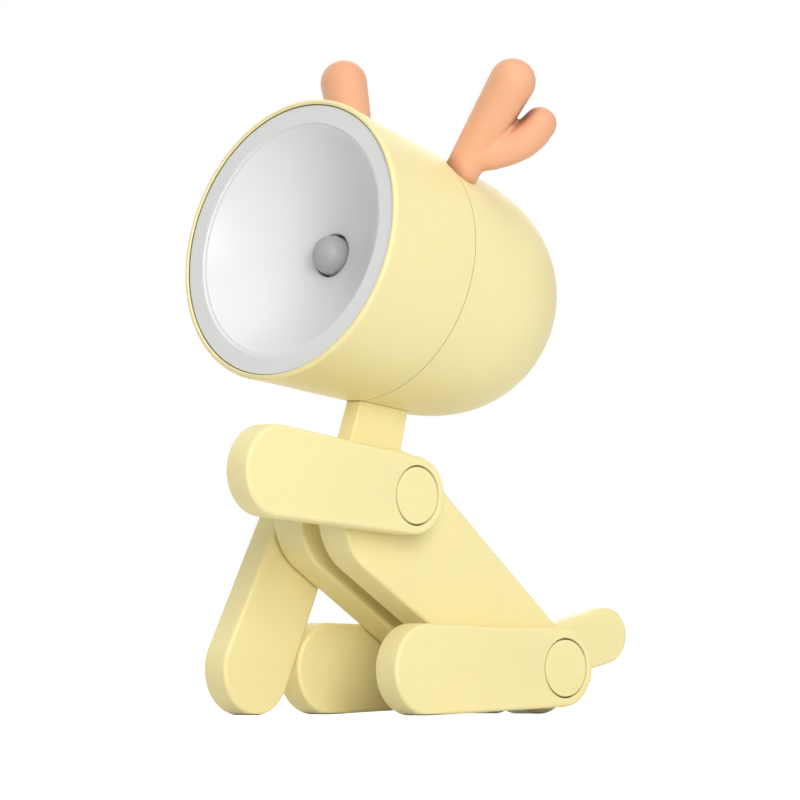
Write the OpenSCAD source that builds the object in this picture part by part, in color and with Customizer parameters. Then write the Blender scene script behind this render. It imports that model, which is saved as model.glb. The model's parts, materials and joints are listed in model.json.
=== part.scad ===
// Folding desk lamp in the form of a seated deer: a round lamp head on a neck bar,
// two body plates, four swinging legs and a tail, all turning on two cross axles.
// The animal faces -Y, its left side is +X, and it sits on the plane Z = 0.

/* [Pose] */
// Slope of the planted front leg
plant_angle = 63.2; // [56:0.1:66]
// Lift of the raised front leg above level
arm_lift = 7.5; // [0:0.5:12]
// Backward lean of the neck bar
neck_lean = 17.4; // [14:0.1:20]
// Upward tilt of the lamp head
head_pitch = 15; // [10:0.5:18]
// Lift of the tail above level
tail_lift = 13; // [8:0.2:25]

/* [Body plates] */
// Thickness of one body plate
plate_t = 6; // [4:0.1:8]
// Gap between the two body plates
plate_gap = 3.6; // [3:0.1:5]
// Radius of the plate round the hip, which rests on the table
hip_r = 7; // [6.8:0.1:8]
// Radius of the plate at the chest
chest_r = 10; // [8:0.1:11]
// How far the chest sits short of the shoulder axle
chest_back = 1.3; // [0:0.1:4]
// How far the chest sits below the line of the axles
chest_drop = 2.5; // [0:0.1:4]
// Edge rounding of the body plates
plate_edge_r = 0.6; // [0.3:0.1:1.2]

/* [Legs] */
// Distance from pivot to centre of the foot
leg_len = 29.6; // [26:0.1:33]
// Radius of the foot
foot_r = 7; // [6:0.1:7]
// Radius of the leg round its pivot
leg_hub_r = 5.95; // [5.2:0.05:6.5]
// Thickness of a leg
leg_t = 4.8; // [4.2:0.1:6]
// Edge rounding of the legs
leg_edge_r = 0.6; // [0.3:0.1:1.2]

/* [Tail] */
// Distance from hip axle to centre of the tail tip
tail_len = 21.1; // [16:0.1:23]
// Radius of the tail tip
tail_tip_r = 4.3; // [3:0.1:5]
// Radius of the tail round the hip axle
tail_hub_r = 4.3; // [3.6:0.1:5.8]
// Thickness of tail and neck bar
bar_t = 3.2; // [2.4:0.1:3.3]

/* [Neck] */
// Radius of the neck bar round the shoulder axle
neck_hub_r = 5.85; // [5:0.05:6.5]
// Length of the neck bar past its screws
neck_end = 2.6; // [2:0.1:3]
// Half width of the neck bar at its upper end
neck_top_half = 4.7; // [3.8:0.1:5]
// Thickness of the cheeks that hold the neck bar inside the head
cheek_t = 2.4; // [1.6:0.1:3]
// Distance between the two neck screws
neck_screw_step = 4.4; // [4.2:0.1:5]

/* [Pivot hardware] */
// Radius of the two axles
axle_r = 2; // [1.6:0.1:2.4]
// Depth of the washer floor below the inner face of a leg
washer_floor = 2; // [1.6:0.1:2.4]
// Radius of the retaining washers
washer_r = 3.2; // [2.8:0.1:3.4]
// Thickness of the retaining washers
washer_t = 0.4; // [0.3:0.05:0.6]
// Radius of the small screws' thread
screw_r = 1; // [0.8:0.05:1.2]
// Radius of the small screws' heads
screw_head_r = 1.9; // [1.6:0.1:2.2]
// Height of the small screws' heads
screw_head_t = 0.8; // [0.6:0.1:1]
// Length of the axle screws under the head
axle_screw_len = 5; // [4:0.5:7]
// Radius of the pivot caps
cap_r = 4.6; // [4.2:0.1:4.8]
// Thickness of the pivot caps
cap_t = 1.1; // [0.9:0.1:1.2]
// Width of the groove that shows round a pivot cap
cap_groove = 0.25; // [0.15:0.05:0.4]

/* [Lamp head] */
// Distance from shoulder axle to the axis of the head
head_rise = 33.8; // [33.6:0.1:36]
// How far the front rim lies ahead of the shoulder
head_ahead = 24.2; // [23.8:0.1:26]
// Radius of the head at the front rim
rim_r = 22.1; // [21:0.1:24]
// Loss of radius for each millimetre behind the rim
head_taper = 0.1; // [0.08:0.002:0.13]
// Length of the straight part of the head
cone_len = 30.3; // [28:0.1:34]
// Length of the rounded back of the head
dome_len = 19.85; // [18:0.05:22]
// Squareness of the rounded back
dome_power = 2.5; // [2:0.1:3]
// Place of the joint between the two shells
seam_s = 19.9; // [16:0.1:20.4]
// Wall of the two shells
shell_wall = 1.6; // [1.4:0.1:2]
// Length of the lap where the shells push together
lap_len = 3; // [2:0.1:4]
// Rounding of the front rim
rim_round = 0.6; // [0.3:0.1:0.7]

/* [Reflector and lamp] */
// Width of the rim round the reflector
rim_lip = 0.8; // [0.75:0.05:1.4]
// Width of the reflector's front ring
ring_w = 2.85; // [1.8:0.05:3.2]
// Gap that shows between rim and ring
ring_gap = 0.2; // [0.15:0.05:0.4]
// Depth of the ring below the rim
ring_recess = 0.3; // [0.3:0.1:1]
// Thickness of the ring
ring_t = 1.5; // [1.2:0.1:2]
// Depth of the bowl if it ran on to a point on its axis
bowl_depth = 9.4; // [8:0.1:10]
// Wall of the bowl
bowl_wall = 1.3; // [1:0.1:1.6]
// Radius of the lamp hole in the bowl
lamp_hole_r = 3.4; // [3.2:0.05:3.6]
// Radius of the frosted lamp
lamp_r = 3; // [2.4:0.05:3]
// Height of the frosted lamp above its circuit board
lamp_len = 5; // [4.6:0.1:6.5]
// Radius of the lamp's circuit board
board_r = 10; // [9.8:0.1:12]
// Thickness of the circuit board
board_t = 1.2; // [1:0.1:1.6]
// Offset of the two board screws from the axis
board_screw_x = 7.4; // [7.2:0.1:7.8]

/* [Cells and switch] */
// Radius of a button cell
cell_r = 5.8; // [5.8:0.05:6]
// Height of a button cell
cell_h = 5.4; // [5.2:0.05:5.6]
// Number of button cells
cell_count = 3; // [2:1:3]
// Room for the contact spring between board and cells
spring_len = 4; // [3.5:0.1:4.5]
// Radius of the contact spring at the middle of its wire
spring_r = 3.2; // [2.6:0.1:3.6]
// Radius of the spring wire
spring_wire_r = 0.3; // [0.2:0.05:0.35]
// Turns of the contact spring
spring_turns = 4; // [3:1:4]
// Wall of the cell tube
tube_wall = 1.2; // [1:0.1:1.3]
// Thickness of the rear contact plate
contact_t = 0.4; // [0.3:0.05:0.6]
// Thickness of the cell holder's cross bar
bar_wall = 1.6; // [1.2:0.1:2]
// Offset of the holder screws from the axis
holder_screw_x = 11; // [10.5:0.1:11.5]
// Side of the square switch housing
switch_side = 7; // [6:0.1:8]
// Depth of the switch housing
switch_depth = 6.4; // [5.5:0.1:7]
// Radius of the push button
button_r = 4.4; // [3.5:0.1:5]
// Height of the push button above the head
button_proud = 1.6; // [1.4:0.1:2]
// Travel of the push button
button_travel = 1.2; // [0.8:0.1:1.4]
// Radius of the button's stem
stem_r = 1.6; // [1.2:0.1:2]
// Radius of the hook-up wires
wire_r = 0.5; // [0.4:0.05:0.6]

/* [Antlers] */
// Place of the antlers behind the front rim
antler_s = 22.4; // [22.4:0.1:26]
// Angle of the antlers from the top of the head
antler_angle = 33.5; // [30:0.5:40]
// Radius of an antler at its foot
antler_foot_r = 2.7; // [2:0.1:2.8]
// Radius of the main tine's tip
tine_tip_r = 3.6; // [2.8:0.1:4]
// Radius of the side tine's tip
side_tip_r = 3; // [2.2:0.1:3.4]
// Outward run of the main tine
tine_out = 7.2; // [4:0.1:8]
// Backward run of the main tine
tine_back = 3.8; // [2:0.1:6]
// Upward run of the main tine
tine_up = 13.8; // [12:0.1:15]
// Radius of the side tine's elbow
elbow_r = 2.9; // [2.2:0.05:3]
// Outward run of the side tine
side_out = 8.7; // [6:0.1:9]
// Backward run of the side tine
side_back = 7.6; // [6:0.1:9]
// Upward run of the side tine
side_up = 6.9; // [6.5:0.1:9]
// Share of the side tine's sideways run at its elbow
elbow_share = 0.68; // [0.6:0.01:0.75]
// Height of the side tine's elbow
elbow_up = 4.1; // [4:0.1:5]
// Share of the main tine where the side tine leaves it
branch_share = 0.2; // [0.15:0.01:0.3]
// Radius of the peg that holds an antler in the shell
peg_r = 1.4; // [1:0.1:1.6]

/* [Clearances] */
// Sideways play between moving neighbours
side_play = 0.3; // [0.2:0.05:0.4]
// Radial play of pieces that turn on an axle
turn_play = 0.05; // [0.03:0.01:0.08]
// Radial play of pieces that are pressed or pushed together
push_play = 0.02; // [0.01:0.01:0.03]
// Free space between pieces that must not touch
free_space = 0.3; // [0.2:0.05:0.5]
// Gap between the planted front foot and the hind foot beside it
foot_gap = 0.1; // [0.1:0.1:4]

/* [Hidden] */
$fn = 64;
// Sides of the rounded discs that legs and plates are blended from
soft_sides = 32;
// Steps of a rounded edge
round_steps = 4;
eps = 0.01;

yellow = [0.98, 0.91, 0.66];
peach = [0.98, 0.74, 0.58];
pale_grey = [0.86, 0.86, 0.85];
steel = [0.72, 0.73, 0.75];
board_green = [0.20, 0.45, 0.28];
black_plastic = [0.13, 0.13, 0.14];
frosted = [0.97, 0.97, 0.94];
wire_red = [0.75, 0.16, 0.12];

// Places across the body, from the middle outwards
plate_in = plate_gap / 2;
plate_out = plate_in + plate_t;
leg_in = plate_out + side_play;
leg_out = leg_in + leg_t;
axle_end = leg_in + washer_floor + turn_play;
screw_hole_r = screw_r + push_play;

// The planted leg and the hind foot set the place of the shoulder from the hip
hip_z = hip_r;
stance = (2 * foot_r + foot_gap) / sin(plant_angle);
span_y = stance + leg_len * (1 - cos(plant_angle));
span_z = foot_r + leg_len * sin(plant_angle) - hip_z;
pivot_span = norm([span_y, span_z]);
torso_pitch = atan2(span_z, span_y);

// Reach of the raised leg and of the tail, which set the middle of the lamp
reach_front = span_y + leg_len * cos(arm_lift) + foot_r;
reach_back = tail_len * cos(tail_lift) + tail_tip_r;
hip_y = (reach_front - reach_back) / 2;
hip = [0, hip_y, hip_z];
shoulder = [0, hip_y - span_y, hip_z + span_z];

// The hind legs lie on the table
hind_angle = asin((hip_z - foot_r) / leg_len);

// Ring and bowl inside the rim
ring_r = rim_r - rim_lip - ring_gap;
bowl_r = ring_r - ring_w;

// Places along the axis of the head, counted back from the front rim
ring_seat = ring_recess + ring_t;
ledge_t = 1.6;
ledge_end = ring_seat + ledge_t;
bowl_floor = bowl_s(lamp_hole_r);
board_s = bowl_floor + 2;
board_back = board_s + board_t;
cells_s = board_back + spring_len;
cells_end = cells_s + cell_count * cell_h;
contact_end = cells_end + contact_t;
holder_end = contact_end + bar_wall;
switch_end = holder_end + switch_depth;
apex_s = cone_len + dome_len;
stem_bore_s = switch_end - 3.6;
stem_tip_s = stem_bore_s + button_travel + free_space;
button_flange_r = button_r + 1.2;
button_hole_r = button_r + free_space;
button_shoulder_s = inner_s(button_flange_r) - free_space;
lap_r = outer_r(seam_s) - shell_wall / 2;
tube_in_r = cell_r + 0.15;
tube_out_r = tube_in_r + tube_wall;
head_origin = [0, shoulder[1] + head_rise * sin(head_pitch) - head_ahead * cos(head_pitch),
    shoulder[2] + head_rise * cos(head_pitch) + head_ahead * sin(head_pitch)];
board_hole_r = 0.4;
lead_x = 1.27;
board_screw_grip = 2;
contact_tab_w = 2;
contact_tab_t = 0.5;
switch_tab = [1, 1, 0.4];
switch_tab_s = holder_end + 1.5;
ear_r = screw_head_r + 0.6;
holder_screw_grip = 4;

// Cheeks on both sides of the neck bar and the screws through them
cheek_in = bar_t / 2 + push_play;
cheek_out = cheek_in + cheek_t;
neck_screw_len = 2 * cheek_out - 0.8;
// The screw heads clear the inside of the shell that the neck bar comes through
neck_wall_r = inner_r(head_ahead + neck_screw_step / 2 + 2 * screw_head_r) - free_space;
neck_room = sqrt(pow(neck_wall_r, 2) - pow(cheek_out + screw_head_t, 2));
neck_screw_low = head_rise - neck_room + screw_head_r;
neck_len = neck_screw_low + neck_end;

// Outside radius of the head at a distance behind the rim
function dome_share(s, len) = s <= cone_len ? 1
    : pow(max(0, 1 - pow((s - cone_len) / len, dome_power)), 1 / dome_power);
function outer_r(s) = (rim_r - head_taper * s) * dome_share(s, dome_len);
function inner_r(s) = (rim_r - head_taper * s - shell_wall) * dome_share(s, dome_len - shell_wall);
// Place of the dome's inner face at a small radius near the back
function inner_s(r) = cone_len + (dome_len - shell_wall)
    * pow(1 - pow(r / (rim_r - head_taper * apex_s - shell_wall), dome_power), 1 / dome_power);
// Stations along the dome, closer together towards the back
function dome_stations(len, n) = [for (i = [0 : n]) cone_len + len * sin(90 * i / n)];
// Depth of the bowl's face at a radius
function bowl_s(r) = ring_recess + bowl_depth * (1 - pow(r / bowl_r, 2));
function turned(p, a) = [p[0], p[1] * cos(a) - p[2] * sin(a), p[1] * sin(a) + p[2] * cos(a)];
function unit(v) = v / norm(v);
function heading(path, i) = unit(path[min(i + 1, len(path) - 1)] - path[max(i - 1, 0)]);

// In the head's own frame Z runs back along its axis, Y points down and X to the animal's left
module in_head() {
    translate(head_origin) rotate([-90 - head_pitch, 0, 0]) children();
}

// In a bar's own frame the pivot is the origin and the bar runs along -Y
module at_pivot(place, drop) {
    translate(place) rotate([drop, 0, 0]) children();
}

// Disc of radius r lying between x0 and x1, with edges rounded by f
module soft_disc(r, x0, x1, f) {
    t = x1 - x0;
    rim = [for (i = [0 : round_steps]) let (a = 90 * i / round_steps)
        [r - f + f * sin(a), t - f + f * cos(a)]];
    low = [for (p = rim) [p[0], t - p[1]]];
    low_up = [for (i = [len(low) - 1 : -1 : 0]) low[i]];
    translate([x0, 0, 0]) rotate([0, 90, 0]) rotate([0, 0, 90])
        rotate_extrude($fn = soft_sides) polygon(concat([[0, t]], rim, low_up, [[0, 0]]));
}

// Cylinder along X between x0 and x1
module x_rod(r, x0, x1) {
    translate([x0, 0, 0]) rotate([0, 90, 0]) cylinder(r = r, h = x1 - x0);
}

// Flat bar from the origin along -Y with a round end at each circle
module flat_bar(r0, r1, length, t) {
    lean = asin((r1 - r0) / length);
    side = [for (c = [[0, r0], [-length, r1]]) [c[0] - c[1] * sin(lean), c[1] * cos(lean)]];
    translate([-t / 2, 0, 0]) rotate([90, 0, 90]) linear_extrude(t) union() {
        circle(r0);
        translate([-length, 0]) circle(r1);
        polygon([side[0], side[1], [side[1][0], -side[1][1]], [side[0][0], -side[0][1]]]);
    }
}

// Screw along -X with its head's underside at the origin
module pan_screw(length) {
    rotate([0, 90, 0]) rotate_extrude() polygon([[0, -length], [screw_r * 0.6, -length],
        [screw_r, -length + screw_r], [screw_r, 0], [screw_head_r, 0],
        [screw_head_r, screw_head_t * 0.5], [screw_head_r * 0.7, screw_head_t], [0, screw_head_t]]);
}

// Round tube swept along a path, with one side vector for each point
module swept_tube(path, side, r, n = 6) {
    count = len(path);
    points = [for (i = [0 : count - 1])
        let (t = heading(path, i), a = unit(side[i] - (side[i] * t) * t), b = cross(t, a))
        for (k = [0 : n - 1]) path[i] + r * (cos(360 * k / n) * a + sin(360 * k / n) * b)];
    walls = [for (i = [0 : count - 2]) for (k = [0 : n - 1])
        let (p = i * n + k, q = i * n + (k + 1) % n)
        for (f = [[p, p + n, q + n], [p, q + n, q]]) f];
    ends = [for (k = [1 : n - 2]) for (f = [[0, k, k + 1],
        [count * n - n, count * n - n + k + 1, count * n - n + k]]) f];
    polyhedron(points = points, faces = concat(walls, ends));
}

// Outer body of the head between two places on its axis, solid, grown by a margin
module head_form(s0, grow = 0) {
    straight = [[outer_r(s0) + grow, s0]];
    back = [for (s = dome_stations(dome_len, 14)) [max(0, outer_r(s) + (s < apex_s ? grow : 0)), s]];
    rotate_extrude() polygon(concat([[0, s0]], straight, back));
}

// Leg along -Y with its pivot at the origin and its inner face at X = 0
module leg_blank() {
    difference() {
        hull() {
            soft_disc(leg_hub_r, 0, leg_t, leg_edge_r);
            translate([0, -leg_len, 0]) soft_disc(foot_r, 0, leg_t, leg_edge_r);
        }
        x_rod(axle_r + turn_play, -1, leg_t);
        x_rod(washer_r + free_space, washer_floor, leg_t);
        x_rod(cap_r + push_play, leg_t - cap_t, leg_t + 1);
    }
}

module leg(place, drop, side) {
    color(yellow) at_pivot(place, drop) mirror([side < 0 ? 1 : 0, 0, 0])
        translate([leg_in, 0, 0]) leg_blank();
}

// Press-in cap with a step that leaves a groove round it
module pivot_cap(place, drop, side) {
    color(yellow) at_pivot(place, drop) mirror([side < 0 ? 1 : 0, 0, 0]) rotate([0, 90, 0])
        translate([0, 0, leg_out - cap_t]) rotate_extrude() polygon([[0, 0], [cap_r, 0],
            [cap_r, cap_t / 2], [cap_r - cap_groove, cap_t / 2], [cap_r - cap_groove, cap_t], [0, cap_t]]);
}

module torso_plate(side) {
    color(yellow) mirror([side < 0 ? 1 : 0, 0, 0]) difference() {
        at_pivot(hip, -torso_pitch) hull() {
            soft_disc(hip_r, plate_in, plate_out, plate_edge_r);
            translate([0, chest_back - pivot_span, -chest_drop])
                soft_disc(chest_r, plate_in, plate_out, plate_edge_r);
        }
        for (p = [hip, shoulder]) translate(p) x_rod(axle_r + push_play, 0, plate_out + 1);
    }
}

// Axle with a screw hole in each end
module axle(place) {
    color(steel) translate(place) difference() {
        x_rod(axle_r, -axle_end, axle_end);
        for (side = [-1, 1]) mirror([side < 0 ? 1 : 0, 0, 0])
            x_rod(screw_hole_r, axle_end + washer_t - axle_screw_len - free_space, axle_end + 1);
    }
}

module on_axle_ends() {
    for (p = [shoulder, hip]) for (side = [-1, 1]) translate(p) mirror([side < 0 ? 1 : 0, 0, 0])
        translate([axle_end, 0, 0]) children();
}

module pivot_screws() {
    color(steel) on_axle_ends() translate([washer_t, 0, 0]) pan_screw(axle_screw_len);
}

module pivot_washers() {
    color(steel) on_axle_ends() difference() {
        x_rod(washer_r, 0, washer_t);
        x_rod(screw_hole_r, -1, washer_t + 1);
    }
}

// Outline of the neck bar, with its sides leaning in from the hub, grown by a margin
module neck_form(grow = 0) {
    top = neck_len + grow;
    half = neck_top_half + grow;
    hub = neck_hub_r + grow;
    root = hub - 0.2;
    at_pivot(shoulder, -90 - neck_lean) translate([-bar_t / 2 - grow, 0, 0]) rotate([90, 0, 90])
        linear_extrude(bar_t + 2 * grow) union() {
            circle(hub);
            polygon([[0, root], [-top, half], [-top, -half], [0, -root]]);
        }
}

module on_neck_screws() {
    for (side = [-1, 1]) at_pivot(shoulder, -90 - neck_lean)
        translate([0, -neck_screw_low, side * neck_screw_step / 2]) children();
}

module neck_bar() {
    color(yellow) difference() {
        neck_form();
        translate(shoulder) x_rod(axle_r + turn_play, -bar_t, bar_t);
        on_neck_screws() x_rod(screw_hole_r, -bar_t, bar_t);
    }
}

module neck_screws() {
    color(steel) on_neck_screws() translate([cheek_out, 0, 0]) pan_screw(neck_screw_len);
}

module tail() {
    color(yellow) at_pivot(hip, 180 + tail_lift) difference() {
        flat_bar(tail_hub_r, tail_tip_r, tail_len, bar_t);
        x_rod(axle_r + turn_play, -bar_t, bar_t);
    }
}

module front_shell() {
    round_rim = [for (i = [0 : round_steps]) let (a = 90 * i / round_steps)
        [rim_r - rim_round + rim_round * sin(a), rim_round - rim_round * cos(a)]];
    pocket_r = ring_r + ring_gap;
    ledge_r = bowl_r + bowl_wall - 0.7;
    slope_end = ledge_end + 2;
    lap_start = seam_s - lap_len - free_space;
    color(yellow) difference() {
        in_head() rotate_extrude() polygon(concat(round_rim, [
            [outer_r(seam_s), seam_s], [lap_r, seam_s], [lap_r, lap_start],
            [outer_r(lap_start) - shell_wall, lap_start], [outer_r(slope_end) - shell_wall, slope_end],
            [ledge_r, ledge_end], [ledge_r, ring_seat], [pocket_r, ring_seat], [pocket_r, 0]]));
        neck_form(push_play);
    }
}

// Shell wall of the back half, with the lap that pushes into the front half
module rear_wall() {
    outside = [for (s = concat([seam_s], dome_stations(dome_len, 14))) [max(0, outer_r(s)), s]];
    stations = dome_stations(dome_len - shell_wall, 12);
    inside = [for (i = [len(stations) - 1 : -1 : 0]) [max(0, inner_r(stations[i])), stations[i]]];
    lap_out = lap_r - push_play;
    lap_in = outer_r(seam_s) - shell_wall;
    rotate_extrude() polygon(concat([[lap_out, seam_s]], outside, inside,
        [[lap_in, seam_s], [lap_in, seam_s - lap_len], [lap_out, seam_s - lap_len]]));
}

// Cheeks inside the back half that clasp the neck bar
module neck_cheeks() {
    high = neck_len + 0.8;
    half = neck_top_half + 2.2;
    for (side = [0, 1]) mirror([side, 0, 0]) at_pivot(shoulder, -90 - neck_lean)
        translate([cheek_in, -high, -half]) cube([cheek_t, high, 2 * half]);
}

module on_holder_screws() {
    for (side = [-1, 1]) translate([side * holder_screw_x, 0, contact_end]) children();
}

module rear_shell() {
    color(yellow) difference() {
        union() {
            in_head() rear_wall();
            intersection() {
                union() {
                    neck_cheeks();
                    in_head() on_holder_screws() translate([0, 0, bar_wall])
                        cylinder(r = ear_r, h = dome_len);
                }
                in_head() head_form(seam_s, -shell_wall / 2);
            }
        }
        neck_form(push_play);
        on_neck_screws() x_rod(screw_hole_r, -cheek_out - 1, cheek_out + 1);
        in_head() {
            translate([0, 0, cone_len]) cylinder(r = button_hole_r, h = dome_len + 1);
            on_holder_screws() cylinder(r = screw_hole_r, h = bar_wall + holder_screw_grip + 0.5);
            for (side = [-1, 1]) antler_peg(side, push_play);
        }
    }
}

// Bowl with its front ring, lamp collar and two screw posts
module reflector_cup() {
    bowl_rs = [for (i = [0 : 10]) lamp_hole_r + (bowl_r - lamp_hole_r) * i / 10];
    edge = 0.5;
    mouth = [for (i = [0 : 3]) let (a = 90 * i / 3)
        [bowl_r + edge - edge * cos(a), ring_recess + edge - edge * sin(a)]];
    face = [for (r = bowl_rs) if (bowl_s(r) > ring_recess + edge * 1.2) [r, bowl_s(r)]];
    collar_r = lamp_hole_r + bowl_wall;
    back_rs = [for (i = [10 : -1 : 0]) collar_r + (bowl_r - 0.4 - collar_r) * i / 10];
    skin = bowl_wall * 1.1;
    back = [for (r = back_rs) if (bowl_s(r) + skin > ring_seat) [r, bowl_s(r) + skin]];
    post_s = bowl_s(board_screw_x) + bowl_wall / 2;
    color(pale_grey) in_head() difference() {
        union() {
            rotate_extrude() polygon(concat([[lamp_hole_r, board_s]], face, mouth,
                [[ring_r, ring_recess], [ring_r, ring_seat], [back[0][0] + 0.6, ring_seat]],
                back, [[collar_r, board_s]]));
            for (side = [-1, 1]) translate([side * board_screw_x, 0, post_s])
                cylinder(r = screw_head_r, h = board_s - post_s);
        }
        for (side = [-1, 1]) translate([side * board_screw_x, 0, board_s - board_screw_grip])
            cylinder(r = screw_hole_r, h = board_screw_grip + 1);
    }
}

// Round frosted lamp with a foot and two leads
module led_lamp() {
    foot_t = 0.9;
    foot_r_out = lamp_hole_r - free_space;
    dome = [for (i = [0 : 8]) let (a = 90 * i / 8)
        [lamp_r * sin(a), board_s - lamp_len + lamp_r - lamp_r * cos(a)]];
    color(frosted) in_head() union() {
        rotate_extrude() polygon(concat(dome, [[lamp_r, board_s - foot_t],
            [foot_r_out, board_s - foot_t], [foot_r_out, board_s], [0, board_s]]));
        for (side = [-1, 1]) translate([side * lead_x, 0, board_s - eps])
            cylinder(r = board_hole_r - free_space / 2, h = board_t + 0.8);
    }
}

module led_board() {
    color(board_green) in_head() difference() {
        translate([0, 0, board_s]) cylinder(r = board_r, h = board_t);
        for (side = [-1, 1]) {
            translate([side * lead_x, 0, 0]) cylinder(r = board_hole_r, h = board_back + 1);
            translate([side * board_screw_x, 0, 0]) cylinder(r = screw_hole_r, h = board_back + 1);
        }
    }
}

module board_screws() {
    color(steel) in_head() for (side = [-1, 1]) translate([side * board_screw_x, 0, board_back])
        rotate([0, -90, 0]) pan_screw(board_t + board_screw_grip - 0.3);
}

// Coil that presses on the first cell
module battery_spring() {
    steps = 8 * spring_turns;
    run = spring_len - 2 * spring_wire_r;
    path = [for (i = [0 : steps]) let (a = 360 * spring_turns * i / steps)
        [spring_r * cos(a), spring_r * sin(a), board_back + spring_wire_r + run * i / steps]];
    side = [for (i = [0 : steps]) let (a = 360 * spring_turns * i / steps) [cos(a), sin(a), 0]];
    color(steel) in_head() swept_tube(path, side, spring_wire_r);
}

module button_cells() {
    lip = 0.5;
    cell_top = cell_h - push_play;
    color(steel) in_head() for (i = [0 : cell_count - 1]) translate([0, 0, cells_s + i * cell_h])
        rotate_extrude() polygon([[0, 0], [cell_r - 1.1, 0], [cell_r - 1.1, lip], [cell_r - 0.3, lip],
            [cell_r, lip + 0.3], [cell_r, cell_top - 0.3], [cell_r - 0.3, cell_top], [0, cell_top]]);
}

// Tube for the cells on a cross bar with a screw ear at each end
module battery_holder() {
    color(black_plastic) in_head() difference() {
        union() {
            translate([0, 0, cells_s + 1]) cylinder(r = tube_out_r, h = holder_end - cells_s - 1);
            translate([-holder_screw_x, -ear_r, contact_end])
                cube([2 * holder_screw_x, 2 * ear_r, bar_wall]);
            on_holder_screws() cylinder(r = ear_r, h = bar_wall);
        }
        cylinder(r = tube_in_r, h = contact_end);
        on_holder_screws() translate([0, 0, -1]) cylinder(r = screw_hole_r, h = bar_wall + 2);
        translate([-contact_tab_w / 2 - push_play, -contact_tab_t - push_play, 0])
            cube([contact_tab_w + 2 * push_play, contact_tab_t + 2 * push_play, holder_end + 1]);
    }
}

// Plate behind the cells with a tab that reaches into the switch
module rear_contact() {
    color(steel) in_head() union() {
        translate([0, 0, cells_end]) cylinder(r = cell_r - 1, h = contact_t);
        translate([-contact_tab_w / 2, -contact_tab_t, cells_end])
            cube([contact_tab_w, contact_tab_t, contact_t + bar_wall]);
    }
}

module holder_screws() {
    color(steel) in_head() on_holder_screws() rotate([0, 90, 0]) pan_screw(bar_wall + holder_screw_grip);
}

module switch_body() {
    color(black_plastic) in_head() difference() {
        union() {
            translate([-switch_side / 2, -switch_side / 2, holder_end])
                cube([switch_side, switch_side, switch_depth]);
            for (x = [-switch_side / 4, switch_side / 4])
                translate([x - switch_tab[0] / 2, -switch_side / 2 - switch_tab[1], switch_tab_s])
                    cube(switch_tab + [0, eps, 0]);
        }
        translate([0, 0, stem_bore_s]) cylinder(r = stem_r + turn_play, h = switch_depth);
    }
}

module switch_button() {
    crown = 0.5;
    top = apex_s + button_proud;
    color(peach) in_head() rotate_extrude() polygon([[0, stem_tip_s], [stem_r, stem_tip_s],
        [stem_r, button_shoulder_s - 1.2], [button_flange_r, button_shoulder_s - 1.2],
        [button_flange_r, button_shoulder_s], [button_r, button_shoulder_s], [button_r, top - crown],
        [button_r - crown * 0.3, top - crown * 0.3], [button_r - crown, top], [0, top]]);
}

// Two wires from the switch tabs over the cell tube to the back of the lamp board
module lead_wires() {
    over = tube_out_r + wire_r + free_space;
    tab_y = switch_side / 2 + switch_tab[1];
    drop = over - tab_y;
    start_s = switch_tab_s + switch_tab[2] / 2 - drop;
    bend = [for (i = [0 : 4]) let (a = 90 * i / 4) [-tab_y - drop * cos(a), start_s + drop * sin(a)]];
    path = concat([[-over, board_back], [-over, cells_s]], bend);
    color(wire_red) in_head() for (side = [-1, 1])
        swept_tube([for (p = path) [side * switch_side / 4, p[0], p[1]]],
            [for (p = path) [1, 0, 0]], wire_r);
}

function antler_foot(side) = [side * outer_r(antler_s) * sin(antler_angle),
    -outer_r(antler_s) * cos(antler_angle), antler_s];

module antler_peg(side, grow) {
    translate(antler_foot(side)) rotate([0, 0, side * antler_angle]) rotate([90, 0, 0])
        translate([0, 0, -shell_wall - 0.6]) cylinder(r = peg_r + grow, h = shell_wall + 1);
}

// Forked antler, blended from round beads and seated on the head's own surface
module antler(side) {
    foot = turned(antler_foot(side), -90 - head_pitch);
    tine = [side * tine_out, tine_back, tine_up];
    elbow = [side * side_out * elbow_share, side_back * elbow_share, elbow_up];
    side_tip = [side * side_out, side_back, side_up];
    branch = foot + tine * branch_share;
    color(peach) union() {
        difference() {
            translate(head_origin) union() {
                bead_run(foot, antler_foot_r, foot + tine, tine_tip_r);
                bead_run(branch, antler_foot_r, foot + elbow, elbow_r);
                bead_run(foot + elbow, elbow_r, foot + side_tip, side_tip_r);
            }
            in_head() head_form(0);
        }
        in_head() antler_peg(side, 0);
    }
}

module bead_run(a, ra, b, rb) {
    hull() {
        translate(a) sphere(ra, $fn = 24);
        translate(b) sphere(rb, $fn = 24);
    }
}

front_shell();
rear_shell();
reflector_cup();
led_lamp();
led_board();
board_screws();
battery_spring();
button_cells();
battery_holder();
rear_contact();
holder_screws();
switch_body();
switch_button();
lead_wires();
antler(1);  // antler_left
antler(-1);  // antler_right
neck_bar();
neck_screws();
torso_plate(1);  // torso_plate_left
torso_plate(-1);  // torso_plate_right
axle(shoulder);  // shoulder_axle
axle(hip);  // hip_axle
pivot_screws();
pivot_washers();
leg(shoulder, -arm_lift, 1);  // front_leg_left
leg(shoulder, plant_angle, -1);  // front_leg_right
leg(hip, hind_angle, 1);  // hind_leg_left
leg(hip, hind_angle, -1);  // hind_leg_right
pivot_cap(shoulder, -arm_lift, 1);  // shoulder_cap_left
pivot_cap(shoulder, plant_angle, -1);  // shoulder_cap_right
pivot_cap(hip, hind_angle, 1);  // hip_cap_left
pivot_cap(hip, hind_angle, -1);  // hip_cap_right
tail();
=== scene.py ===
# Folding deer lamp: smooth moulded pieces, finishes, floor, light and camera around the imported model
import json
import math

import bmesh
import bpy
from mathutils import Matrix, Vector


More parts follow.
